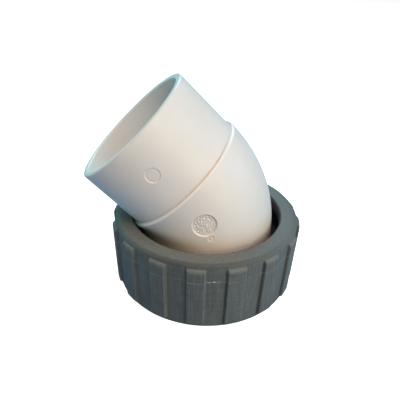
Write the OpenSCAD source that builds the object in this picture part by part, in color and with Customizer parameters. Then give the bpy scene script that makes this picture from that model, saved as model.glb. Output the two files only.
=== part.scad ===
// 45 degree half-union elbow for 50 mm pressure pipe.
// A moulded socket elbow ends in a union flange, a ribbed union nut is
// caught on its neck, and an O-ring sits in the flange's face.
// Millimetres. Z runs up the union's axis, z = 0 is the nut's bottom rim,
// and the socket leans towards -X.

/* [Union nut] */
// overall height of the nut
nut_height = 39; // [38.5:0.1:50]
// barrel radius at the bottom rim
nut_bottom_radius = 47.3; // [46.5:0.1:55]
// barrel radius at the top, below the rounded shoulder
nut_top_radius = 48.7; // [46:0.1:56]
// rounding of the shoulder
nut_shoulder_round = 2.9; // [0.5:0.1:4]
// radius of the opening the elbow comes through
nut_opening_radius = 39.2; // [38:0.1:42]
// break on the opening's upper edge
nut_opening_break = 1.0; // [0.2:0.1:2]
// underside of the lip that holds the flange
nut_lip_underside = 33.2; // [28:0.1:35]
// number of grip ribs
rib_count = 16; // [8:1:24]
// how far a rib stands out from the barrel
rib_height = 1.6; // [0.8:0.05:3]
// width of a rib at its outer face
rib_width = 8.1; // [5:0.1:10]
// extra width of a rib at its foot, on each side
rib_flank = 0.9; // [0.2:0.1:1.6]
// height where the ribs start, above a plain rim
rib_bottom = 2; // [1:0.1:6]
// height where the ribs stop
rib_top = 36.6; // [20:0.1:37]
// turn of the first rib from the +X direction
rib_phase = -4.75; // [-11.25:0.05:11.25]

/* [Nut thread] */
// crest radius of the internal thread
thread_minor_radius = 42.463; // [42.1:0.001:42.8]
// root radius of the internal thread
thread_major_radius = 43.942; // [43.2:0.001:44.1]
// thread pitch
thread_pitch = 2.309; // [1.814:0.001:2.4]
// height of the first thread crest above the rim
thread_first = 2.3; // [1.8:0.1:3]
// number of thread crests
thread_turns = 6; // [3:1:6]
// radius of the clear bore above the thread
relief_radius = 44.3; // [44.1:0.1:45]

/* [Elbow] */
// height where the neck and socket axes cross
crossing_height = 47.5; // [47.3:0.1:60]
// angle between the neck and the socket
bend_angle = 45; // [15:5:50]
// outer radius of the neck and bend
bend_radius = 35.3; // [32:0.1:37]
// how far the collar at the end of the bend stands above it
collar_rise = 0.2; // [0.1:0.05:0.3]
// break on the collar's edge at the step
collar_break = 0.9; // [0.8:0.1:1.2]
// centreline radius of the bend
bend_sweep = 40.8; // [39:0.1:46]
// step plane, measured along the socket from the crossing
socket_start = 19.7; // [18:0.1:30]
// outer radius of the socket
socket_radius = 34; // [33.5:0.1:37]
// mouth plane, measured along the socket from the crossing
socket_end = 55; // [54.5:0.5:90]
// bore radius that takes the pipe
socket_bore_radius = 30.25; // [28:0.05:31.5]
// depth of the socket
socket_depth = 38; // [20:0.5:38.5]
// radius of the waterway through bend and neck
waterway_radius = 26; // [20:0.1:29]
// break on the mouth's edges
mouth_break = 0.9; // [0.3:0.1:1.6]

/* [Union flange] */
// flange radius
flange_radius = 42; // [40:0.1:42.3]
// seal face of the flange
flange_bottom = 15; // [14:0.1:18]
// top of the flange
flange_top = 21.5; // [21:0.1:27]

/* [O-ring] */
// section of the O-ring
oring_section = 4; // [2:0.1:6]
// radius of the O-ring's section centre
oring_radius = 33; // [30:0.1:36]
// how far the O-ring stands proud of the seal face
oring_proud = 0.8; // [0.3:0.1:1.5]
// clearance of the O-ring in its groove
oring_clearance = 0.12; // [0.05:0.01:0.4]

/* [Hidden] */
$fn = 96;
cut_overrun = 1;           // how far cuts pass the faces they open

// nut barrel
barrel_slope = (nut_top_radius - nut_bottom_radius) / (nut_height - nut_shoulder_round);
shoulder_steps = 5;
rim_break = 0.4;           // outer edge of the bottom rim
thread_mouth_break = 0.7;  // inner edge of the bottom rim
relief_rise = 0.2;         // height of the cone from thread root to relief bore

// thread: half the crest's flat, and the height of one flank
thread_depth = thread_major_radius - thread_minor_radius;
thread_flank_angle = 27.5;
thread_flank = thread_depth * tan(thread_flank_angle);
thread_flat = (thread_pitch - 2 * thread_flank) / 4;

// ribs
rib_root_radius = nut_bottom_radius - 2;  // inside the barrel wall
rib_bottom_break = 0.6;
rib_slope_drop = 2.2;      // the top slope starts this far below rib_top
rib_knee_drop = 0.9;       // and steepens this far below it
rib_knee_share = 0.7;      // share of rib_height left where it steepens
rib_top_sink = 0.3;        // depth of the rib's top end below the barrel
prism_inset = 1;           // rib prism inward of the bottom rim's radius
prism_outset = 0.5;        // rib prism beyond the rib's face
prism_overrun = 2;         // rib prism past each end of the nut

// elbow
tangent_length = bend_sweep * tan(bend_angle / 2);
neck_top = crossing_height - tangent_length;
neck_foot = 1.2;           // cone between the flange and the neck
flange_face_break = 0.8;
flange_top_break = 0.6;
collar_radius = bend_radius + collar_rise;
collar_lap = 0.6;
collar_start = tangent_length - collar_lap;
socket_foot = 0.4;         // cone between the step and the socket
socket_floor = socket_end - socket_depth;
socket_waterway_radius = waterway_radius + collar_rise;
waterway_break = 1;        // waterway's edge at the seal face

// O-ring and its groove
groove_depth = oring_section - oring_proud + oring_clearance;
groove_half_width = oring_section / 2 + oring_clearance;
oring_height = flange_bottom - oring_proud + oring_section / 2;

function barrel_radius(z) = nut_bottom_radius + barrel_slope * z;

// one thread crest, root to root going up, as [radius, z]
function crest(k) = let (z = thread_first + k * thread_pitch) [
    [thread_major_radius, z - thread_flat - thread_flank],
    [thread_minor_radius, z - thread_flat],
    [thread_minor_radius, z + thread_flat],
    [thread_major_radius, z + thread_flat + thread_flank]];
thread_points = [for (k = [0 : thread_turns - 1]) for (point = crest(k)) point];
thread_last_point = len(thread_points) - 1;
thread_end = thread_points[thread_last_point][1];

// rounded shoulder from the barrel to the top face, as [radius, z]
shoulder_points = [for (i = [0 : shoulder_steps]) let (angle = 90 * i / shoulder_steps)
    [nut_top_radius - nut_shoulder_round + nut_shoulder_round * cos(angle),
     nut_height - nut_shoulder_round + nut_shoulder_round * sin(angle)]];

// nut wall: up the barrel, over the lip and down the thread
module nut_section() {
    polygon(concat(
        [[nut_bottom_radius - rim_break, 0], [barrel_radius(rim_break), rim_break]],
        shoulder_points,
        [[nut_opening_radius + nut_opening_break, nut_height],
         [nut_opening_radius, nut_height - nut_opening_break],
         [nut_opening_radius, nut_lip_underside],
         [relief_radius, nut_lip_underside],
         [relief_radius, thread_end + relief_rise]],
        [for (i = [thread_last_point : -1 : 0]) thread_points[i]],
        [[thread_major_radius, thread_mouth_break],
         [thread_major_radius + thread_mouth_break, 0]]));
}

// a band standing out from the barrel, with its upper end sloped in
module rib_band() {
    break_z = rib_bottom + rib_bottom_break;
    slope_z = rib_top - rib_slope_drop;
    knee_z = rib_top - rib_knee_drop;
    rotate_extrude() polygon([
        [rib_root_radius, rib_bottom],
        [barrel_radius(rib_bottom) + rib_height - rib_bottom_break, rib_bottom],
        [barrel_radius(break_z) + rib_height, break_z],
        [barrel_radius(slope_z) + rib_height, slope_z],
        [barrel_radius(knee_z) + rib_height * rib_knee_share, knee_z],
        [barrel_radius(rib_top) - rib_top_sink, rib_top],
        [rib_root_radius, rib_top]]);
}

// one tapered-flank prism for each rib, leaning with the barrel
module rib_prisms() {
    lean = atan(barrel_slope);
    taper = rib_flank / rib_height;
    inner_half = rib_width / 2 + rib_flank + taper * prism_inset;
    outer_half = rib_width / 2 - taper * prism_outset;
    outer_x = rib_height + prism_outset;
    for (i = [0 : rib_count - 1])
        rotate([0, 0, rib_phase + i * 360 / rib_count])
            translate([nut_bottom_radius, 0, 0])
                rotate([0, lean, 0])
                    translate([0, 0, -prism_overrun])
                        linear_extrude(height = nut_height + 2 * prism_overrun)
                            polygon([[-prism_inset, -inner_half], [outer_x, -outer_half],
                                     [outer_x, outer_half], [-prism_inset, inner_half]]);
}

module union_nut() {
    color([0.22, 0.24, 0.26]) {
        union() {
            rotate_extrude() nut_section();
            intersection() {
                rib_band();
                rib_prisms();
            }
        }
    }
}

// puts children on the socket's axis, with z = 0 at the crossing
module along_socket() {
    translate([0, 0, crossing_height]) rotate([0, -bend_angle, 0]) children();
}

// sweep of a round section from the neck's top through bend_angle
module bend(section_radius) {
    translate([-bend_sweep, 0, neck_top])
        rotate([90, 0, 0])
            rotate_extrude(angle = bend_angle)
                translate([bend_sweep, 0]) circle(r = section_radius);
}

// flange and neck
module neck_outside() {
    rotate_extrude() polygon([
        [0, flange_bottom],
        [flange_radius - flange_face_break, flange_bottom],
        [flange_radius, flange_bottom + flange_face_break],
        [flange_radius, flange_top - flange_top_break],
        [flange_radius - flange_top_break, flange_top],
        [bend_radius + neck_foot, flange_top],
        [bend_radius, flange_top + neck_foot],
        [bend_radius, neck_top],
        [0, neck_top]]);
}

// collar and socket, the collar lapping a little over the bend
module socket_outside() {
    along_socket() rotate_extrude() polygon([
        [0, collar_start],
        [collar_radius, collar_start],
        [collar_radius, socket_start - collar_break],
        [collar_radius - collar_break, socket_start],
        [socket_radius + socket_foot, socket_start],
        [socket_radius, socket_start + socket_foot],
        [socket_radius, socket_end - mouth_break],
        [socket_radius - mouth_break, socket_end],
        [0, socket_end]]);
}

// waterway above the bend, then the pipe's bore out to the mouth
module socket_inside() {
    along_socket() rotate_extrude() polygon([
        [0, collar_start],
        [socket_waterway_radius, collar_start],
        [socket_waterway_radius, socket_floor],
        [socket_bore_radius, socket_floor],
        [socket_bore_radius, socket_end - mouth_break],
        [socket_bore_radius + mouth_break, socket_end],
        [socket_bore_radius + mouth_break, socket_end + cut_overrun],
        [0, socket_end + cut_overrun]]);
}

// waterway below the bend
module neck_inside() {
    rotate_extrude() polygon([
        [0, flange_bottom - cut_overrun],
        [waterway_radius + waterway_break, flange_bottom - cut_overrun],
        [waterway_radius + waterway_break, flange_bottom],
        [waterway_radius, flange_bottom + waterway_break],
        [waterway_radius, neck_top],
        [0, neck_top]]);
}

module oring_groove() {
    rotate_extrude()
        translate([oring_radius - groove_half_width, flange_bottom - cut_overrun])
            square([2 * groove_half_width, groove_depth + cut_overrun]);
}

module elbow_tail() {
    color([0.93, 0.92, 0.88]) {
        difference() {
            union() {
                neck_outside();
                bend(bend_radius);
                socket_outside();
            }
            neck_inside();
            bend(waterway_radius);
            socket_inside();
            oring_groove();
        }
    }
}

module o_ring() {
    color([0.06, 0.06, 0.06])
        rotate_extrude() translate([oring_radius, oring_height]) circle(r = oring_section / 2);
}

union_nut();
elbow_tail();
o_ring();
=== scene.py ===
"""A 45-degree white PVC pipe elbow with its dark union nut and black seal ring.

The nut stands on z = 0 with its axis on +Z. The elbow's tail shares that axis, rises out of
the nut's top and bends toward -X. The front is -Y, where the camera stands, and +X is right.
"""
import math
from functools import cached_property

import bmesh
import bpy
import numpy as np
from mathutils import Matrix, Vector


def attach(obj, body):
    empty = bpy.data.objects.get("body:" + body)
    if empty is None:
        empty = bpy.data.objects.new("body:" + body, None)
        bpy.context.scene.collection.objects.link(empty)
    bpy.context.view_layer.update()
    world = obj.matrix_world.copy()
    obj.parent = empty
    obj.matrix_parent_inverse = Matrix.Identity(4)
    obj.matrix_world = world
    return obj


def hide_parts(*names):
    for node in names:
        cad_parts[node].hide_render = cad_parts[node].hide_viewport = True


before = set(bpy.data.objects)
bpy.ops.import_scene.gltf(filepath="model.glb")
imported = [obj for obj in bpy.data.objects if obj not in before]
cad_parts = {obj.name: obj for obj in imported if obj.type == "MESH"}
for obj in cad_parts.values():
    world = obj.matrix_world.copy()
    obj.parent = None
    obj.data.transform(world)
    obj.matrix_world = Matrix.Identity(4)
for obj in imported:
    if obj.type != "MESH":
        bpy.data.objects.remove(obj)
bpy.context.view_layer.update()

# ---------------------------------------------------------------- sizes, millimetres
MM = 0.001
# nut
NUT_H, NUT_R0, NUT_R1 = 39.0, 47.3, 48.75                  # height, outer radius low and high
SHOULDER, OPEN_R, OPEN_ROUND, LIP_Z = 2.9, 39.2, 1.15, 33.2
RELIEF_R = 44.3
THREAD_ROOT, THREAD_CREST, THREAD_PITCH = 43.942, 42.463, 2.309
THREAD_LO, THREAD_HI = 0.9, 15.1
CREST_HALF, FLANK_ANGLE = 0.1925, math.radians(27.5)
RIBS, RIB_PHASE = 16, math.radians(-4.75)
RIB_H, RIB_HALF, RIB_FLANK, RIB_LOW, RIB_TOP = 1.6, 4.05, 0.85, 2.0, 36.5
ARC_R = 48.5                                               # where arc lengths are measured
RIB_SPACE_HALF = math.pi * ARC_R / RIBS
PART_Z = 29.4                                              # the nut's parting line
FRONT = math.radians(270)
# elbow: T values are distances along the socket from where the two axes cross
CROSS_Z, SWEEP, NECK_R, COLLAR_R, SOCKET_R = 47.5, 40.8, 35.3, 35.5, 34.0
BORE_R, WATER_R, FLANGE_R = 30.25, 26.0, 42.0
SEAL_Z, FLANGE_Z = 15.0, 21.5
STEP_T, MOUTH_T, FLOOR_T = 19.7, 55.0, 17.0
BEND = math.radians(45.0)
TANGENT = SWEEP * math.tan(BEND / 2)
NECK_TOP = CROSS_Z - TANGENT
# seal
RING_R, RING_SECTION, RING_Z = 33.0, 4.0, 16.2
GROOVE_HALF, GROOVE_DEPTH = 2.12, 3.32


# ---------------------------------------------------------------- outline helpers
def unit(v):
    return v / np.linalg.norm(v)


def rounded_loop(points, step_angle):
    """A closed outline from (x, y, fillet radius), with a support point beside each fillet."""
    out = []
    count = len(points)
    for i in range(count):
        before, corner, after = (np.array(points[(i + k) % count][:2], float) for k in (-1, 0, 1))
        radius = points[i][2]
        if radius <= 0:
            out.append(corner)
            continue
        len_a, len_b = np.linalg.norm(before - corner), np.linalg.norm(after - corner)
        a, b = (before - corner) / len_a, (after - corner) / len_b
        angle = math.acos(float(a @ b))
        cut = min(radius / math.tan(angle / 2), 0.46 * len_a, 0.46 * len_b)
        radius = cut * math.tan(angle / 2)
        centre = corner + unit(a + b) * (radius / math.sin(angle / 2))
        start, end = corner + a * cut - centre, corner + b * cut - centre
        turn = math.pi - angle
        steps = max(3, int(math.ceil(math.degrees(turn) / step_angle)))
        support = min(0.3 * radius + 0.06, 0.5 * (len_a - cut), 0.5 * (len_b - cut))
        out.append(corner + a * (cut + support))
        for k in range(steps + 1):
            f = k / steps
            swing = math.sin((1 - f) * turn) * start + math.sin(f * turn) * end
            out.append(centre + swing / math.sin(turn))
        out.append(corner + b * (cut + support))
    return np.array(out)


def refine(points, spacing, closed=True):
    """Splits long straight runs; spacing(x, y) is the longest step wanted there."""
    out = []
    count = len(points)
    for i in range(count if closed else count - 1):
        p, q = points[i], points[(i + 1) % count]
        out.append(p)
        run = q - p
        length = float(np.linalg.norm(run))
        pos, marks = 0.0, []
        while True:
            here = p + run * (pos / max(length, 1e-9))
            pos += spacing(here[0], here[1])
            if pos >= length - 0.25 * spacing(q[0], q[1]):
                break
            marks.append(pos)
        if marks:
            last_step = marks[-1] - (marks[-2] if len(marks) > 1 else 0.0)
            stretch = min(1.15, max(0.85, length / (marks[-1] + last_step)))
            for mark in marks:
                if mark * stretch < length * 0.999:
                    out.append(p + run * (mark * stretch / length))
    if not closed:
        out.append(points[-1])
    return np.array(out)


# ---------------------------------------------------------------- mesh helpers
def mesh_from(name, verts, faces, attrs=None, weld=None):
    """A smooth object from points in mm and quads, with point attributes; weld is in mm."""
    me = bpy.data.meshes.new(name)
    me.vertices.add(len(verts))
    me.vertices.foreach_set("co", (verts * MM).astype(np.float32).ravel())
    me.loops.add(faces.size)
    me.loops.foreach_set("vertex_index", faces.astype(np.int32).ravel())
    me.polygons.add(len(faces))
    me.polygons.foreach_set("loop_start", np.arange(0, faces.size, 4, dtype=np.int32))
    me.polygons.foreach_set("loop_total", np.full(len(faces), 4, dtype=np.int32))
    for key, values in (attrs or {}).items():
        layer = me.attributes.new(key, "FLOAT", "POINT")
        layer.data.foreach_set("value", np.asarray(values, np.float32).ravel())
    me.update(calc_edges=True)
    me.validate(clean_customdata=False)
    if weld:
        bm = bmesh.new()
        bm.from_mesh(me)
        bmesh.ops.remove_doubles(bm, verts=bm.verts, dist=weld * MM)
        bmesh.ops.dissolve_degenerate(bm, dist=weld * MM * 0.5, edges=bm.edges)
        bm.to_mesh(me)
        bm.free()
    # outward faces: a closed mesh has a positive volume
    co = np.empty(len(me.vertices) * 3, np.float32)
    me.vertices.foreach_get("co", co)
    co = co.reshape(-1, 3).astype(float)
    me.calc_loop_triangles()
    tri = np.empty(len(me.loop_triangles) * 3, np.int32)
    me.loop_triangles.foreach_get("vertices", tri)
    a, b, c = (co[tri.reshape(-1, 3)[:, k]] for k in range(3))
    if float(np.einsum("ij,ij->i", a, np.cross(b, c)).sum()) < 0:
        me.flip_normals()
    me.polygons.foreach_set("use_smooth", np.ones(len(me.polygons), bool))
    me.update()
    ob = bpy.data.objects.new(name, me)
    bpy.context.scene.collection.objects.link(ob)
    return ob


def grid_faces(nu, nv, close_u=True, close_v=True):
    iu = np.arange(nu if close_u else nu - 1)
    iv = np.arange(nv if close_v else nv - 1)
    i, j = np.meshgrid(iu, iv, indexing="ij")
    i2, j2 = (i + 1) % nu, (j + 1) % nv
    return np.stack([i * nv + j, i2 * nv + j, i2 * nv + j2, i * nv + j2], -1).reshape(-1, 4)


def around_z(radius, cos, sin, z):
    """Points at a radius from the Z axis, as one list."""
    return np.stack([radius * cos, radius * sin, z], -1).reshape(-1, 3)


def ease(x, soft=0.2):
    """A ramp held to 0..1 with its two corners rounded over +-soft."""
    low = (x + soft) ** 2 / (4 * soft)
    high = 1 - (1 + soft - x) ** 2 / (4 * soft)
    top = np.where(x < 1 - soft, x, np.where(x < 1 + soft, high, 1.0))
    return np.where(x < -soft, 0.0, np.where(x < soft, low, top))


def bell(x, width):
    return np.exp(-(x / width) ** 2)


def wave(*args):
    """A smooth, fixed, uneven value around 0 from a few sines."""
    out = 0.0
    for k, x in enumerate(args):
        out = out + np.sin(x + k * 1.7) * 0.5
        out = out + np.sin(x * 2.37 + 1.3 + k) * 0.3 + np.sin(x * 5.11 + 0.4 + k * 2.1) * 0.2
    return out / len(args)


# ---------------------------------------------------------------- union nut
# section (radius, z, fillet), from the thread's lower end round the outside to its upper end
NUT_OUTLINE = [
    (THREAD_ROOT, THREAD_LO, 0.0),
    (THREAD_ROOT + 0.75, 0.0, 0.2),
    (NUT_R0, 0.0, 0.45),
    (NUT_R1, NUT_H, SHOULDER),
    (OPEN_R, NUT_H, OPEN_ROUND),
    (OPEN_R, LIP_Z, 0.35),
    (RELIEF_R, LIP_Z, 0.9),
    (RELIEF_R, THREAD_HI + 0.5, 0.15),
    (THREAD_ROOT, THREAD_HI, 0.0),
]
# longest step up the outer wall (below this z, step)
NUT_WALL_STEPS = [
    (RIB_LOW - 0.7, 1.5), (RIB_LOW + 1.0, 0.16), (PART_Z - 1.6, 1.5), (PART_Z + 1.6, 0.12),
    (RIB_TOP - 3.4, 0.6), (RIB_TOP - 0.7, 0.24), (RIB_TOP + 0.2, 0.09), (RIB_TOP + 0.7, 0.24),
    (math.inf, 0.6),
]
# columns either side of a rib's middle, as arc lengths, crowded at its flank
RIB_COLUMNS = [1.3, 2.5, 3.3, 3.6, 3.8, 3.93, 4.05, 4.17, 4.32, 4.48, 4.64, 4.78, 4.9, 5.02,
               5.15, 5.4, 5.9, 6.7, 7.6, 8.6]
# rows in one thread pitch, crowded at the flanks
THREAD_ROWS = np.array([0.0, 0.16, 0.30, 0.42, 0.60, 0.80, 0.97, 1.06, THREAD_PITCH / 2,
                        1.25, 1.34, 1.51, 1.71, 1.89, 2.01, 2.15])


def nut_spacing(radius, z):
    if radius > NUT_R0 - 0.9 and z > 0.3:
        return next(step for top, step in NUT_WALL_STEPS if z < top)
    return 1.2 if z > LIP_Z - 0.1 else 2.0


def nut_columns():
    """Each column's angle, and its signed arc length from the nearest rib's middle."""
    offsets = sorted([-o for o in RIB_COLUMNS] + [0.0] + RIB_COLUMNS) + [RIB_SPACE_HALF]
    columns = [(rib, offset) for rib in range(RIBS) for offset in offsets]
    # extra columns for the flash nick between ribs 12 and 13
    columns += [(12, 4.67 + 0.31 * i) for i in range(16)]
    columns += [(13, -9.44 + 0.31 * i) for i in range(8)]
    rib, arc = np.array(columns).T
    theta = RIB_PHASE + (rib + arc / (2 * RIB_SPACE_HALF)) * 2 * math.pi / RIBS
    order = np.argsort(theta)
    return theta[order], arc[order]


def nut_body(columns, arcs):
    """Everything but the thread: points, faces and the material's masks."""
    profile = refine(rounded_loop(NUT_OUTLINE, step_angle=11.0), nut_spacing, closed=False)
    theta, radius = np.meshgrid(columns, profile[:, 0], indexing="ij")
    arc, z = np.meshgrid(arcs, profile[:, 1], indexing="ij")
    outer = (radius > NUT_R0 - 0.62) & (z < NUT_H - 0.001)
    upper = (z > NUT_H - 3.2) & (radius > OPEN_R + 0.6)
    from_rib = np.abs(arc)

    flank = (RIB_HALF + RIB_FLANK - from_rib) / RIB_FLANK
    below_top = (RIB_TOP - z) / 2.2
    head = np.sqrt(np.clip(1 - (1 - np.clip(below_top, 0, 1)) ** 2, 0, 1))
    rib = RIB_H * ease(flank, soft=0.24) * head * ease((z - RIB_LOW + 0.15) / 0.75)
    # the moulding's parting line: a fine ridge with a small ledge below it
    over_part = z - (PART_Z + 0.25 * np.sin(theta + 0.6))
    ridge = 0.07 * bell(over_part, width=0.16) * (0.75 + 0.5 * wave(theta * 9.0))
    ledge = 0.05 * (1 - ease(over_part / 0.5 + 0.5))
    # a nick of flash between two ribs at the front
    along = (theta - (FRONT + math.radians(4.6))) * ARC_R
    curl = 0.20 * np.sin(along * 1.7 + 0.6) + 0.11 * np.sin(along * 4.3)
    ragged = np.clip(0.72 + 0.42 * np.sin(along * 2.6) + 0.3 * np.sin(along * 6.1), 0.12, 1.3)
    nick = 0.50 * bell(along - 0.3, width=3.3) * bell(over_part - curl, width=0.17) * ragged
    # slow unevenness of a thick moulding, and a hollow down each rib's middle
    uneven = 0.035 * wave(theta * 3.0, z * 0.09 + 0.7)
    hollow = 0.05 * ease((1.6 - from_rib) / 3.0, soft=0.3) * (below_top > 0.8)
    relief = np.where(outer, rib + ridge + ledge + nick + uneven - hollow, 0.0)
    # a fine witness line down the rim, at a radius of about 46
    line = (theta - (FRONT + math.radians(11.75))) * 46.0
    witness = 0.042 * bell(line, width=0.25) * upper
    top_wave = 0.04 * wave(theta * 2.0) * ease((z - NUT_H + 0.4) / 0.4, soft=0.1)
    height = np.minimum(z + np.where(upper, top_wave, 0.0), NUT_H)
    verts = around_z(radius + relief + witness, np.cos(theta), np.sin(theta), height)

    # worn rib edges and rib heads, with a painted highlight that makes the edges stronger on the
    # side toward growing angle
    edge_side = bell(from_rib - RIB_HALF + 0.02, width=0.26) * ease(below_top * 1.2)
    edge_side = edge_side * np.where(arc > 0, 1.15, 0.3)
    edge_top = bell(z - (RIB_TOP - 0.7), width=1.1) * ease(flank * 1.1)
    # painted shade down one foot of each rib
    foot = bell(arc + RIB_HALF + 0.62, width=0.42) * ease(below_top * 2.0 + 0.5)
    line_mask = 0.22 * bell(over_part, width=0.18) * (0.7 + 0.6 * wave(theta * 7.0))
    lining = (z < LIP_Z + 0.5) & (radius < RELIEF_R + 0.2)
    masks = {
        "edge": np.where(outer, np.maximum(edge_side * 0.8, edge_top * 0.85), 0.0),
        "foot": np.where(outer, foot, 0.0),
        "flash": np.where(outer, np.maximum(line_mask, 2.6 * nick), 0.0),
        "inside": (radius < OPEN_R + 0.9) | lining,
    }
    return verts, grid_faces(*theta.shape, close_v=False), masks


def nut_thread(columns):
    """Internal thread: rows follow the helix and are held to the zone's two ends."""
    pitches = math.ceil((THREAD_HI - THREAD_LO) / THREAD_PITCH) + 1
    starts = THREAD_LO - THREAD_PITCH + np.arange(pitches) * THREAD_PITCH
    rows = (starts[:, None] + THREAD_ROWS).ravel()
    # one more column closes the turn, a pitch higher
    turn = (np.append(columns, columns[0] + 2 * math.pi) - columns[0]) / (2 * math.pi)
    theta = np.append(columns, columns[0])[:, None]
    helix_z = rows + turn[:, None] * THREAD_PITCH
    z = np.clip(helix_z, THREAD_LO, THREAD_HI)

    depth = THREAD_ROOT - THREAD_CREST
    flank = depth * math.tan(FLANK_ANGLE)
    from_crest = np.abs((rows - THREAD_LO) % THREAD_PITCH - THREAD_PITCH / 2)
    crest = ease((CREST_HALF + flank - from_crest) / flank, soft=0.16)
    fade = ease((z - THREAD_LO - 0.05) / 1.5, soft=0.12)
    fade = fade * ease((THREAD_HI - 0.05 - z) / 1.5, soft=0.12)
    held = (helix_z <= THREAD_LO) | (helix_z >= THREAD_HI)
    radius = np.where(held, THREAD_ROOT, THREAD_ROOT - depth * crest * fade)
    verts = around_z(radius, np.cos(theta), np.sin(theta), z)
    return verts, grid_faces(*z.shape, close_u=False, close_v=False)[:, ::-1]


def build_nut():
    columns, arcs = nut_columns()
    body, body_faces, masks = nut_body(columns, arcs)
    thread, thread_faces = nut_thread(columns)
    # the thread counts as inside and carries no other mask
    attrs = {key: np.concatenate([mask.ravel(), np.full(len(thread), float(key == "inside"))])
             for key, mask in masks.items()}
    faces = np.concatenate([body_faces, thread_faces + len(body)])
    return mesh_from("union_nut_moulding", np.concatenate([body, thread]), faces, attrs,
                     weld=0.004)


# ---------------------------------------------------------------- elbow
# s is the length along the centreline from the seal face
S_FLANGE = FLANGE_Z - SEAL_Z
S_NECK = NECK_TOP - SEAL_Z
S_BEND = SWEEP * BEND
Y_AXIS = np.array([0, 1.0, 0])


def s_of(t):
    """Path length at a distance t from the crossing, along the socket."""
    return S_NECK + S_BEND + (t - TANGENT)


S_STEP, S_MOUTH = s_of(STEP_T), s_of(MOUTH_T)
# section (s, radius, fillet)
ELBOW_OUTLINE = [
    (0.0, WATER_R, 0.8),
    (0.0, RING_R - GROOVE_HALF, 0.25),
    (GROOVE_DEPTH, RING_R - GROOVE_HALF, 0.35),
    (GROOVE_DEPTH, RING_R + GROOVE_HALF, 0.35),
    (0.0, RING_R + GROOVE_HALF, 0.25),
    (0.0, FLANGE_R, 0.8),
    (S_FLANGE, FLANGE_R, 0.6),
    (S_FLANGE, NECK_R, 1.4),
    (s_of(TANGENT - 1.6), NECK_R, 0.0),
    (s_of(TANGENT + 0.9), COLLAR_R + 0.02, 0.0),
    (s_of(STEP_T - 0.8), COLLAR_R, 0.9),
    (S_STEP, COLLAR_R - 0.8, 0.6),
    (S_STEP + 0.12, SOCKET_R, 0.4),
    (S_MOUTH, SOCKET_R, 0.95),
    (S_MOUTH, BORE_R + 0.12, 1.1),
    (s_of(FLOOR_T), BORE_R, 0.5),
    (s_of(FLOOR_T), WATER_R + 0.1, 0.6),
    (s_of(TANGENT - 0.5), WATER_R, 0.0),
]
# angles round the pipe between which its columns are close, near the front
FINE_FROM, FINE_TO = math.radians(-98.5), math.radians(-68.5)


def path(s):
    """The centreline's points at lengths s, and the directions to the outside of the bend."""
    phi = np.clip((s - S_NECK) / SWEEP, 0, BEND)
    below = np.minimum(s - S_NECK, 0)
    beyond = np.maximum(s - S_NECK - S_BEND, 0)
    x = -SWEEP + SWEEP * np.cos(phi) - beyond * math.sin(BEND)
    z = NECK_TOP + SWEEP * np.sin(phi) + below + beyond * math.cos(BEND)
    zero = np.zeros_like(phi)
    return np.stack([x, zero, z], -1), np.stack([np.cos(phi), zero, np.sin(phi)], -1)


def skin_point(s, theta, radius):
    """Points on the pipe and their outward directions; theta is 0 outside the bend."""
    centre, outside = path(s)
    theta = np.asarray(theta)[..., None]
    normal = outside * np.cos(theta) + Y_AXIS * np.sin(theta)
    return centre + normal * np.asarray(radius)[..., None], normal


def grains(a, b):
    """Uneven moulded grains in four loose rings."""
    rng = np.random.RandomState(23)
    bump = np.zeros_like(a)
    # ring radius, grains in it, grain size
    for ring, count, size in ((1.1, 4, 0.50), (2.2, 8, 0.46), (3.4, 13, 0.46), (4.7, 19, 0.44)):
        for k in range(count):
            angle = 2 * math.pi * (k + rng.uniform(-0.3, 0.3)) / count + ring * 1.7
            out = ring + rng.uniform(-0.3, 0.3)
            da, db = a - out * math.cos(angle), b - out * math.sin(angle)
            lean = rng.uniform(0, math.pi)
            long = da * math.cos(lean) + db * math.sin(lean)
            short = -da * math.sin(lean) + db * math.cos(lean)
            stretch = rng.uniform(1.0, 1.9)
            height = rng.uniform(0.5, 1.1)
            grain = ease((size - np.hypot(long / stretch, short)) / 0.30, soft=0.25)
            bump = np.maximum(bump, height * grain)
    return 0.50 * bump


# Round marks on the front: place (s, theta, skin radius), size, depth, width and softness of
# the wall, what is raised on the floor, and the rim (height, distance outside, width)
MARKS = {
    "disc": dict(
        place=(S_NECK + math.radians(27.6) * SWEEP, math.radians(-83.05), NECK_R),
        radius=5.95, depth=0.95, wall=0.42, soft=0.20, raised=grains, rim=(0.06, 0.3, 0.35)),
    "dot": dict(
        place=(S_NECK + math.radians(17.77) * SWEEP, math.radians(-82.6), NECK_R),
        radius=1.7, depth=0.18, wall=0.35, soft=0.22,
        raised=lambda a, b: 0.15 * ease((0.8 - np.hypot(a, b)) / 0.45), rim=(0.05, 0.2, 0.25)),
    # a plain ejector mark: a shallow round with one concentric ring
    "ring": dict(
        place=(s_of(37.75), math.radians(-85.1), SOCKET_R),
        radius=3.7, depth=0.34, wall=0.40, soft=0.22,
        raised=lambda a, b: 0.10 * bell(np.hypot(a, b) - 2.1, width=0.40),
        rim=(0.03, 0.25, 0.3)),
}
MARK_REACH = 9


def elbow_spacing(s, radius):
    if radius > NECK_R - 3.5:
        disc, dot, ring = (MARKS[name]["place"][0] for name in ("disc", "dot", "ring"))
        marked = dot - 2.4 < s < disc + 6.8 or ring - 4.6 < s < ring + 4.6
        return 0.2 if marked else 0.95
    return 1.5 if S_NECK < s < S_NECK + S_BEND else 2.2


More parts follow.
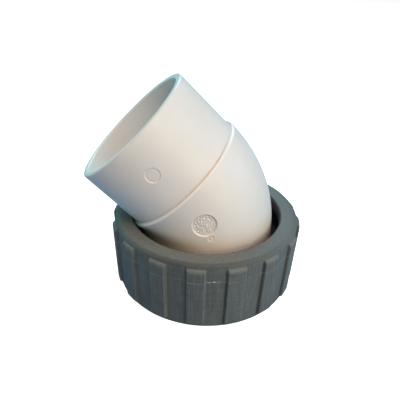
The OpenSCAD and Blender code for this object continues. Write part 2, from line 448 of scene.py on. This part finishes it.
def mark_relief(points, normals, outer):
    """Outward offset of the round marks, and the disc's floor as a mask."""
    relief, recess = np.zeros(outer.shape), np.zeros(outer.shape)
    for name, mark in MARKS.items():
        centre, normal = skin_point(*mark["place"])
        outside = path(mark["place"][0])[1]
        along_pipe = unit(np.cross(outside, Y_AXIS))
        round_pipe = unit(np.cross(normal, along_pipe))
        a, b = (points - centre) @ round_pipe, (points - centre) @ along_pipe
        near = outer & (np.abs(a) < MARK_REACH) & (np.abs(b) < MARK_REACH)
        near &= np.einsum("ijk,k->ij", normals, normal) > 0.6
        beyond = np.hypot(a, b) - mark["radius"]
        floor = ease(-beyond / mark["wall"], mark["soft"])
        rim_height, rim_out, rim_width = mark["rim"]
        shape = floor * (mark["raised"](a, b) - mark["depth"])
        shape = shape + rim_height * bell(beyond - rim_out, rim_width)
        relief = relief + np.where(near, shape, 0.0)
        if name == "disc":
            recess = np.where(near, floor, 0.0)
    return relief, recess


def build_elbow():
    profile = refine(rounded_loop(ELBOW_OUTLINE, step_angle=10.0), elbow_spacing)
    coarse = np.linspace(FINE_TO, FINE_FROM + 2 * math.pi, 176)[:-1]
    fine = np.linspace(FINE_FROM + 2 * math.pi, FINE_TO + 2 * math.pi, 96)[:-1]
    columns = np.concatenate([coarse, fine])
    theta, s = np.meshgrid(columns, profile[:, 0], indexing="ij")
    radius = np.tile(profile[:, 1], (len(columns), 1))
    outer = (radius > NECK_R - 3.3) & (s > S_FLANGE + 0.9)
    points, normals = skin_point(s, theta, radius)

    relief, recess = mark_relief(points, normals, outer)
    # a very fine raised seam in the bend's plane, inside and outside of the bend
    seam = np.maximum(bell(theta * radius, 0.28), bell((theta - math.pi) * radius, 0.28))
    relief = relief + np.where(outer & (s < S_MOUTH - 1.2), 0.045 * seam, 0.0)
    # slow unevenness from shrinkage
    relief = relief + np.where(outer, 0.03 * wave(theta * 2.0 + 0.5, s * 0.11), 0.0)
    points = points + normals * relief[..., None]

    z = points[..., 2]
    side = np.cos(theta - math.radians(212))        # 1 toward -X, a little to the front
    shade = ease((NUT_H + 5.0 + 1.5 * side - z) / 6.5) * ease((side - 0.55) / 0.4)
    # the flange rim and the neck's foot, hidden in the nut's gap, get a painted shadow
    rim = ease((s - S_FLANGE + 0.9) / 0.6) * (radius > NECK_R + 0.4) * (s < S_FLANGE + 2.5)
    neck = (radius > NECK_R - 1.5) * (s > S_FLANGE + 0.2)
    masks = {
        # painted shade in the step's crease, and a painted highlight on the collar's lip
        "crease_shade": bell(s - (S_STEP + 0.25), width=0.55) * (outer & (radius < SOCKET_R + 1.45)),
        "lip": bell(s - (S_STEP - 0.40), width=0.58) * (outer & (radius > SOCKET_R + 0.25)),
        # painted warm shade low on the neck, near the nut
        "low": np.clip(1 - (z - NUT_H) / 14.0, 0, 1) * outer,
        "recess": recess,
        "shade": shade * outer,
        "gap_shadow": np.maximum(rim, neck * np.clip((FLANGE_Z + 7.0 - z) / 5.0, 0, 1)),
        # the pipe's inside, which the material pales with painted light
        "inside": ~outer,
    }
    return mesh_from("elbow_tail_moulding", points.reshape(-1, 3), grid_faces(*s.shape), masks)


# ---------------------------------------------------------------- seal ring
def build_ring():
    """An O-ring with a faint line of flash round its inside and its outside."""
    around = np.linspace(0, 2 * math.pi, 224, endpoint=False)
    section = np.linspace(0, 2 * math.pi, 36, endpoint=False)
    u, v = np.meshgrid(around, section, indexing="ij")
    outside, inside = np.angle(np.exp(1j * v)), np.angle(np.exp(1j * (v - math.pi)))
    flash = 0.04 * (bell(outside, width=0.09) + bell(inside, width=0.09))
    r = RING_SECTION / 2 - 0.04 + flash * (0.8 + 0.2 * wave(u * 7.0))
    verts = around_z(RING_R + r * np.cos(v), np.cos(u), np.sin(u), RING_Z + r * np.sin(v))
    return mesh_from("seal_ring_moulding", verts, grid_faces(*u.shape))


# ---------------------------------------------------------------- material helpers
class Shader:
    """A material with a Principled surface; inputs take a socket or a plain value."""

    def __init__(self, name):
        self.mat = bpy.data.materials.new(name)
        self.mat.use_nodes = True
        self.tree = self.mat.node_tree
        self.tree.nodes.clear()
        self.out = self.add("OutputMaterial")
        self.bsdf = self.add("BsdfPrincipled")
        self.put(self.out.inputs[0], self.bsdf.outputs[0])

    @cached_property
    def coord(self):
        return self.add("TexCoord").outputs["Object"]

    def add(self, kind):
        return self.tree.nodes.new("ShaderNode" + kind)

    def put(self, socket, value):
        if isinstance(value, bpy.types.NodeSocket):
            self.tree.links.new(value, socket)
        elif isinstance(value, tuple) and socket.type == "RGBA":
            socket.default_value = (*value, 1.0)
        else:
            socket.default_value = value

    def surface(self, values):
        for name, value in values.items():
            self.put(self.bsdf.inputs[name], value)

    def noise(self, scale, detail, rough=0.55, vector=None):
        n = self.add("TexNoise")
        n.inputs["Scale"].default_value = scale
        n.inputs["Detail"].default_value = detail
        n.inputs["Roughness"].default_value = rough
        self.put(n.inputs["Vector"], vector or self.coord)
        return n.outputs["Fac"]

    def cell_distance(self, scale):
        n = self.add("TexVoronoi")
        n.inputs["Scale"].default_value = scale
        self.put(n.inputs["Vector"], self.coord)
        return n.outputs["Distance"]

    def scaled_coord(self, scale):
        n = self.add("Mapping")
        n.inputs["Scale"].default_value = scale
        self.put(n.inputs["Vector"], self.coord)
        return n.outputs[0]

    def ramp(self, fac, *stops):
        """Maps fac through (input, output) stops."""
        n = self.add("ValToRGB")
        elements = n.color_ramp.elements
        while len(elements) < len(stops):
            elements.new(0.5)
        for element, (position, level) in zip(elements, stops):
            element.position = position
            element.color = (level, level, level, 1.0)
        self.put(n.inputs[0], fac)
        return n.outputs[0]

    def mix(self, fac, a, b):
        n = self.add("Mix")
        n.data_type = "RGBA"
        self.put(n.inputs[0], fac)
        self.put(n.inputs[6], a)
        self.put(n.inputs[7], b)
        return n.outputs[2]

    def math(self, operation, a, b=0.0, c=0.0, clamp=False):
        n = self.add("Math")
        n.operation = operation
        n.use_clamp = clamp
        for socket, value in zip(n.inputs, (a, b, c)):
            self.put(socket, value)
        return n.outputs[0]

    def times(self, a, b):
        return self.math("MULTIPLY", a, b)

    def layers(self, base, rows):
        """Lays colours over the base, from (mask, amount, colour) rows."""
        for mask, amount, colour in rows:
            base = self.mix(self.times(mask, amount), base, colour)
        return base

    def attr(self, name):
        n = self.add("Attribute")
        n.attribute_name = name
        return n.outputs["Fac"]

    def split(self, vector):
        n = self.add("SeparateXYZ")
        self.put(n.inputs[0], vector)
        return n.outputs

    def bump(self, height, strength, distance, normal=None):
        n = self.add("Bump")
        n.inputs["Strength"].default_value = strength
        n.inputs["Distance"].default_value = distance
        self.put(n.inputs["Height"], height)
        if normal is not None:
            self.put(n.inputs["Normal"], normal)
        return n.outputs[0]


# ---------------------------------------------------------------- materials
def pvc_material():
    m = Shader("white_pvc_moulded")
    big = m.noise(scale=28.0, detail=2.0, rough=0.5)
    mid = m.noise(scale=160.0, detail=3.0)
    fine = m.noise(scale=900.0, detail=2.0, rough=0.6)
    soft = m.noise(scale=260.0, detail=2.0, rough=0.5)
    crease_shade = m.math("MULTIPLY", m.attr("crease_shade"), m.math("ADD", 0.55, m.times(mid, 0.6)),
                    clamp=True)
    speck = m.ramp(m.cell_distance(scale=420.0), (0.03, 1.0), (0.09, 0.0))
    rare = m.ramp(m.noise(scale=75.0, detail=1.0), (0.66, 0.0), (0.72, 1.0))
    base = m.mix(m.ramp(big, (0.3, 0.0), (0.7, 1.0)), (0.74, 0.715, 0.66), (0.77, 0.755, 0.72))
    base = m.layers(base, [
        (m.ramp(mid, (0.35, 0.0), (0.75, 1.0)), 0.22, (0.69, 0.655, 0.59)),
        # painted warm shade in the crease at the step, under a painted highlight on the lip
        (crease_shade, 0.42, (0.70, 0.52, 0.36)),
        (m.attr("lip"), 0.66, (0.96, 0.91, 0.83)),
        # painted warm shade where the neck goes into the nut, and darker painted shade at the
        # left
        (m.math("POWER", m.attr("low"), 2.6), 0.50, (0.62, 0.47, 0.33)),
        (m.attr("shade"), 0.86, (0.17, 0.125, 0.09)),
        # a paler inside: painted light in the bore
        (m.attr("inside"), 0.45, (0.86, 0.83, 0.78)),
        # painted shadow, nearly black, on the flange rim and the foot of the neck
        (m.attr("gap_shadow"), 0.96, (0.014, 0.014, 0.015)),
        (m.attr("recess"), 0.06, (0.56, 0.50, 0.42)),
        # a few dark specks of dust
        (m.times(speck, rare), 0.35, (0.42, 0.38, 0.33)),
    ])
    grain = m.bump(fine, strength=0.16, distance=0.00006)
    m.surface({
        "Base Color": base,
        "Roughness": m.ramp(mid, (0.25, 0.34), (0.8, 0.46)),
        "Specular IOR Level": 0.42,
        "IOR": 1.53,
        "Subsurface Weight": 0.10,
        "Subsurface Radius": (1.0, 0.62, 0.40),
        "Subsurface Scale": 0.0022,
        "Normal": m.bump(soft, strength=0.20, distance=0.00010, normal=grain),
    })
    return m.mat


def nut_material():
    m = Shader("dark_glass_filled_nylon")
    big = m.noise(scale=22.0, detail=2.0, rough=0.5)
    mottle = m.noise(scale=420.0, detail=3.0, rough=0.6)
    grain = m.noise(scale=1350.0, detail=2.0, rough=0.65)
    # fine upright tool marks on the side, and fainter ones round it
    upright = m.scaled_coord((1.0, 1.0, 0.05))
    level = m.scaled_coord((0.05, 0.05, 1.0))
    streak = m.noise(scale=1250.0, detail=2.0, rough=0.6, vector=upright)
    hoop = m.noise(scale=1500.0, detail=1.0, rough=0.5, vector=level)

    _, facing_y, facing_z = m.split(m.add("NewGeometry").outputs["Normal"])
    top = m.ramp(facing_z, (0.78, 0.0), (0.985, 1.0))
    side = m.ramp(facing_z, (0.15, 1.0), (0.5, 0.0))
    # painted shade on the rounded shoulder's front, except on worn edges
    flat = m.math("SQRT", m.math("SUBTRACT", 1.002, m.times(facing_z, facing_z)))
    frontness = m.math("DIVIDE", m.times(facing_y, -1.0), flat, clamp=True)
    shoulder_shade = m.times(m.ramp(facing_z, (0.10, 0.0), (0.32, 1.0), (0.92, 1.0), (0.99, 0.0)),
                       m.ramp(frontness, (0.60, 0.10), (0.96, 1.0)))
    shoulder_shade = m.times(shoulder_shade, m.math("SUBTRACT", 1.0, m.attr("edge"), clamp=True))
    wear_and_highlight = m.times(m.attr("edge"), m.ramp(mottle, (0.3, 0.45), (0.62, 1.0)))
    # painted shade on the right of the top
    rightward = m.math("MULTIPLY_ADD", m.split(m.coord)[0], 12.0, 0.5)
    right_top_shade = m.times(top, m.ramp(rightward, (0.70, 0.0), (1.0, 1.0)))

    base = m.mix(m.ramp(big, (0.3, 0.0), (0.7, 1.0)),
                 (0.089, 0.110, 0.107), (0.122, 0.147, 0.140))
    base = m.layers(base, [
        (m.ramp(mottle, (0.4, 0.0), (0.72, 1.0)), 0.40, (0.122, 0.142, 0.135)),
        # light and dark grains, both stronger on the top
        (m.ramp(grain, (0.50, 0.0), (0.68, 1.0)),
         m.math("ADD", 0.26, m.times(top, 0.40)), (0.25, 0.245, 0.212)),
        (m.ramp(grain, (0.32, 1.0), (0.47, 0.0)),
         m.math("ADD", 0.34, m.times(top, 0.26)), (0.038, 0.048, 0.050)),
        # tool marks
        (m.times(m.ramp(streak, (0.48, 0.0), (0.64, 1.0)), side), 0.24, (0.19, 0.205, 0.19)),
        (m.times(m.ramp(streak, (0.36, 1.0), (0.5, 0.0)), side), 0.24, (0.05, 0.064, 0.064)),
        (m.times(m.ramp(hoop, (0.40, 1.0), (0.52, 0.0)), side), 0.16, (0.05, 0.064, 0.064)),
        # worn edges, partly a painted highlight, and paler, warmer up-facing tops
        (wear_and_highlight, 0.48, (0.245, 0.230, 0.196)),
        (top, 0.42, (0.214, 0.188, 0.158)),
        # painted shade on the right of the top
        (right_top_shade, 0.42, (0.060, 0.068, 0.067)),
        # painted shade on the shoulder's front
        (shoulder_shade, 0.52, (0.026, 0.032, 0.032)),
        # painted shade: a dark line down one foot of each rib, on its shaded side
        (m.attr("foot"), 0.62, (0.016, 0.026, 0.028)),
    ])
    flash = m.math("MULTIPLY", m.attr("flash"), 0.9, clamp=True)
    base = m.mix(flash, base, (0.66, 0.60, 0.48))
    # painted shade: the nut's inside, bore and thread, much darker
    base = m.layers(base, [(m.attr("inside"), 0.75, (0.028, 0.030, 0.033))])

    normal = m.bump(grain, strength=0.45, distance=0.00010)
    normal = m.bump(mottle, strength=0.35, distance=0.00014, normal=normal)
    m.surface({
        "Base Color": base,
        "Roughness": m.ramp(grain, (0.3, 0.52), (0.7, 0.72)),
        "Specular IOR Level": 0.45,
        "IOR": 1.53,
        "Normal": m.bump(streak, strength=0.25, distance=0.00006, normal=normal),
    })
    return m.mat


def rubber_material():
    m = Shader("black_seal_rubber")
    mid = m.noise(scale=500.0, detail=3.0, rough=0.6)
    bloom = m.ramp(m.noise(scale=90.0, detail=3.0, rough=0.6), (0.45, 0.0), (0.8, 1.0))
    m.surface({
        "Base Color": m.layers((0.018, 0.018, 0.019), [(bloom, 0.5, (0.045, 0.045, 0.046))]),
        "Roughness": m.ramp(mid, (0.3, 0.42), (0.7, 0.60)),
        "Specular IOR Level": 0.5,
        "Normal": m.bump(mid, strength=0.25, distance=0.00005),
    })
    return m.mat


def floor_material():
    """Pale to the camera, dimmer to other rays, and clear when looked at from below."""
    m = Shader("pale_floor")
    seen = m.add("LightPath").outputs["Is Camera Ray"]
    m.surface({
        "Base Color": m.mix(seen, (0.30, 0.30, 0.30), (0.90, 0.90, 0.90)),
        "Emission Color": m.mix(seen, (0.000, 0.070, 0.205), (0.88, 0.87, 0.87)),
        "Emission Strength": 1.0,
        "Roughness": 0.9,
        "Specular IOR Level": 0.1,
    })
    below = m.add("NewGeometry").outputs["Backfacing"]
    pick = m.add("MixShader")
    m.put(pick.inputs[0], m.times(below, seen))
    m.put(pick.inputs[1], m.bsdf.outputs[0])
    m.put(pick.inputs[2], m.add("BsdfTransparent").outputs[0])
    m.put(m.out.inputs[0], pick.outputs[0])
    return m.mat


# ---------------------------------------------------------------- pieces
# builder, material, CAD part it rides, CAD piece it replaces, material slot
PIECES = [
    (build_nut, nut_material, "nut", "union_nut", "grey_nylon"),
    (build_elbow, pvc_material, "elbow", "elbow_tail", "white_pvc"),
    (build_ring, rubber_material, "seal", "o_ring", "black_rubber"),
]
for build, material, part, replaced, slot in PIECES:
    piece = build()
    piece.data.materials.append(material())
    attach(piece, part)
    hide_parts(replaced)


# ---------------------------------------------------------------- floor, light, camera
def build_floor():
    half, z = 8.0, -0.0002      # metres
    corners = [(-half, -half, z), (half, -half, z), (half, half, z), (-half, half, z)]
    me = bpy.data.meshes.new("floor")
    me.from_pydata(corners, [], [(0, 1, 2, 3)])
    ob = bpy.data.objects.new("floor", me)
    bpy.context.scene.collection.objects.link(ob)
    me.materials.append(floor_material())


# soft square lights: name, direction from the part, side in metres, watts of red, green, blue
LIGHTS = [
    ("key_low", (0.75, -0.65, 0.2), 0.45, (2.16, 1.92, 1.33)),
    ("front_high", (0.15, -0.6, 0.8), 0.45, (3, 2.27, 1.72)),
    ("right_front_high", (0.6, -0.3, 0.75), 0.45, (0.83, 1.0, 0.98)),
    ("top", (-0.2, -0.3, 0.93), 0.45, (1.15, 1.09, 1.37)),
    ("right_cool", (1, -0.05, 0.35), 0.45, (0.77, 1.37, 2.14)),
    ("back_cool", (0, 0.75, 0.65), 0.5, (1.9, 3.4, 4.26)),
    ("left_high", (-0.8, -0.1, 0.6), 0.45, (0.62, 1.08, 1.03)),
    ("left_back", (-0.6, 0.75, 0.22), 0.5, (0.14, 0.6, 0.6)),
    ("left_low", (-0.85, 0.5, 0.1), 0.45, (0.10, 0.6, 0.6)),
]
LIGHT_DISTANCE = 0.8
LIGHT_TARGET = Vector((0, 0, 0.05))


def build_light(name, direction, size, rgb):
    light = bpy.data.lights.new(name, "AREA")
    light.shape = "SQUARE"
    light.size = size
    light.energy = max(rgb)
    light.color = tuple(c / max(rgb) for c in rgb)
    ob = bpy.data.objects.new(name, light)
    ob.location = Vector(direction).normalized() * LIGHT_DISTANCE + LIGHT_TARGET
    ob.rotation_euler = (LIGHT_TARGET - ob.location).to_track_quat("-Z", "Y").to_euler()
    bpy.context.scene.collection.objects.link(ob)


def build_world():
    """White to the camera, and no light from it."""
    world = bpy.data.worlds.new("studio")
    bpy.context.scene.world = world
    world.use_nodes = True
    tree = world.node_tree
    tree.nodes.clear()
    out = tree.nodes.new("ShaderNodeOutputWorld")
    background = tree.nodes.new("ShaderNodeBackground")
    rays = tree.nodes.new("ShaderNodeLightPath")
    background.inputs[0].default_value = (1.0, 1.0, 1.0, 1)
    tree.links.new(rays.outputs["Is Camera Ray"], background.inputs[1])
    tree.links.new(background.outputs[0], out.inputs[0])


def turned(axis, angle, *vectors):
    """The vectors turned about an axis."""
    axis = unit(axis)
    cos, sin = math.cos(angle), math.sin(angle)
    return [v * cos + np.cross(axis, v) * sin + axis * (axis @ v) * (1 - cos) for v in vectors]


def build_camera():
    distance, target_z = 267.0708, 26.55                    # millimetres
    elevation = 0.5993                                      # radians, as are the turns below
    yaw, pitch, roll, swing = 0.0142, 0.0572, -0.0450, -0.01104
    z_axis = np.array([0, 0, 1.0])
    away = np.array([0, -math.cos(elevation), math.sin(elevation)])
    place = distance * away + target_z * z_axis
    ahead, right = -away, np.array([1.0, 0, 0])
    up = np.cross(right, ahead)
    ahead, right = turned(up, yaw, ahead, right)
    ahead, up = turned(right, pitch, ahead, up)
    right, up = turned(ahead, roll, right, up)
    place, right, up, ahead = turned(z_axis, swing, place, right, up, ahead)

    cam = bpy.data.cameras.new("camera")
    cam.sensor_width = 36.0
    cam.sensor_fit = "HORIZONTAL"
    cam.lens = 43.542
    cam.clip_start, cam.clip_end = 0.01, 20.0
    ob = bpy.data.objects.new("camera", cam)
    rows = np.column_stack([right, up, -ahead, place * MM]).tolist()
    ob.matrix_world = Matrix(rows + [[0.0, 0.0, 0.0, 1.0]])
    scene = bpy.context.scene
    scene.collection.objects.link(ob)
    scene.camera = ob


build_floor()
for row in LIGHTS:
    build_light(*row)
build_world()
view = bpy.context.scene.view_settings
view.view_transform = "Standard"
view.look = "None"
view.exposure = 0.0
view.gamma = 1.0
build_camera()
